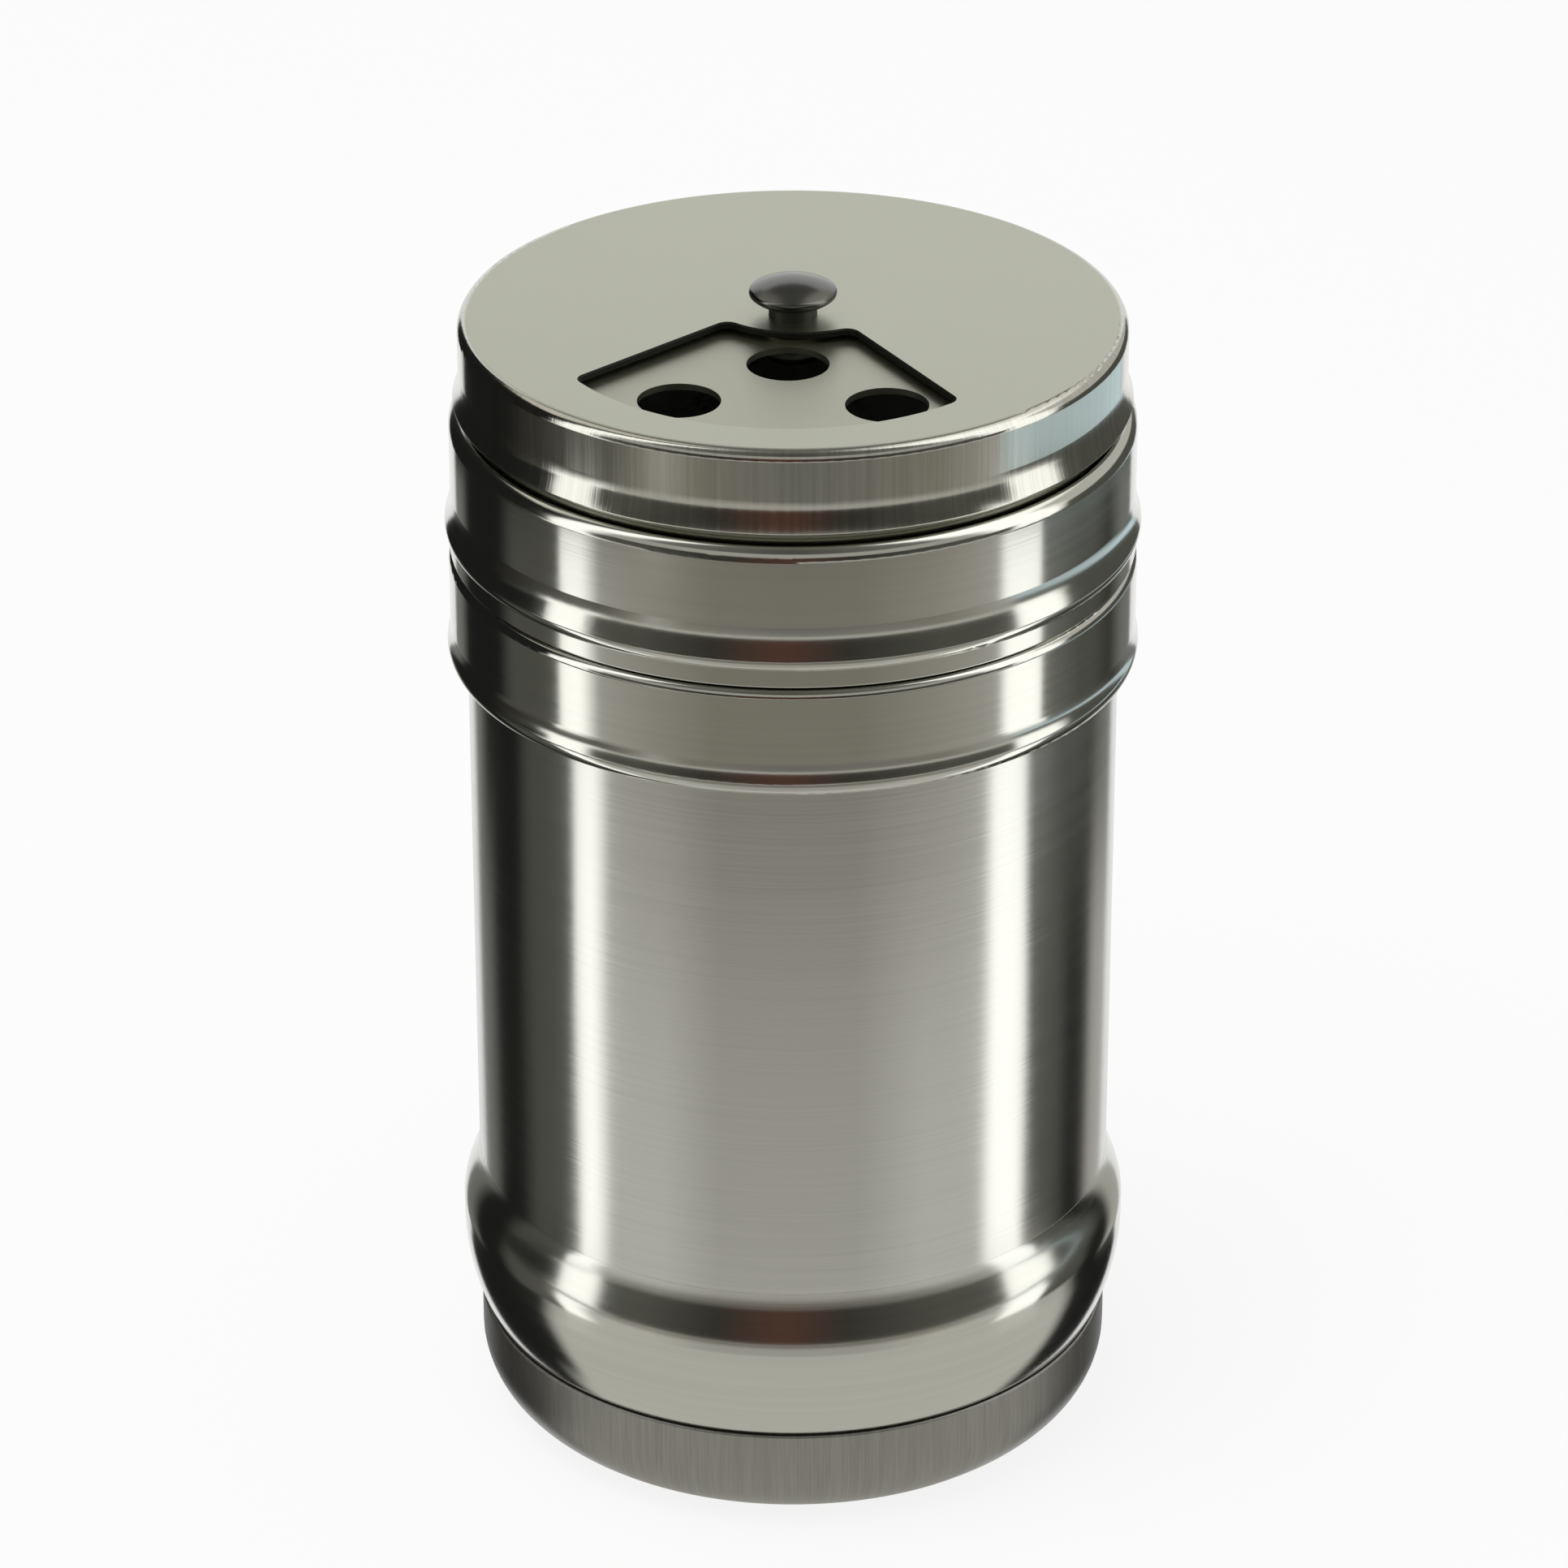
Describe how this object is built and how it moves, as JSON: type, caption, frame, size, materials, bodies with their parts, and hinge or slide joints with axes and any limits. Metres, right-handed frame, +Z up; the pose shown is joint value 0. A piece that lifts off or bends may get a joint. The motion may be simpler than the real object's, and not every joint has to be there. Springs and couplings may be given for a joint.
{
  "type": "spice shaker with rotating lid",
  "caption": "Tall round steel spice shaker: a cap with a sector window turns over a perforated plate in a lift-off lid, on a jar with a shoulder band, a bulged base and a rounded foot.",
  "frame": {"origin": "centre of the ring that the foot stands on", "axes": "+Z up the shaker's axis; -Y is the front, where the cap's window stands at rest"},
  "size_m": [0.0522, 0.0522, 0.0936],
  "materials": {
    "foot_steel": "fine upright brushing",
    "tube_steel": "brushed round the tube",
    "band_steel": "polished",
    "neck_steel": "plain pressed",
    "polished_steel": "polished",
    "plate_steel": "satin",
    "insert_plastic": "moulded",
    "gasket_rubber": "soft silicone",
    "satin_steel": "satin",
    "washer_steel": "plain",
    "knob_steel": "turned and polished"
  },
  "bodies": {
    "jar": {"foot_cup": "foot_steel", "body_tube": "tube_steel", "base_shell": "band_steel", "shoulder_band": "band_steel", "neck_ring": "neck_steel"},
    "lid": {"lid_collar": "polished_steel", "sifter_plate": "plate_steel", "thread_insert": "insert_plastic", "lid_gasket": "gasket_rubber"},
    "cap": {"rotating_cap": "satin_steel", "spacer_washer": "washer_steel", "disc_spring": "washer_steel", "tail_washer": "washer_steel", "pivot_knob": "knob_steel"}
  },
  "joints": [
    {"name": "lid_lift", "type": "slide", "parent": "jar", "child": "lid", "axis": [0, 0, 1], "range_m": [0, 0.04]},
    {"name": "cap_turn", "type": "hinge", "parent": "lid", "child": "cap", "pos_m": [0, 0, 0.0907], "axis": [0, 0, 1], "continuous": true}
  ]
}
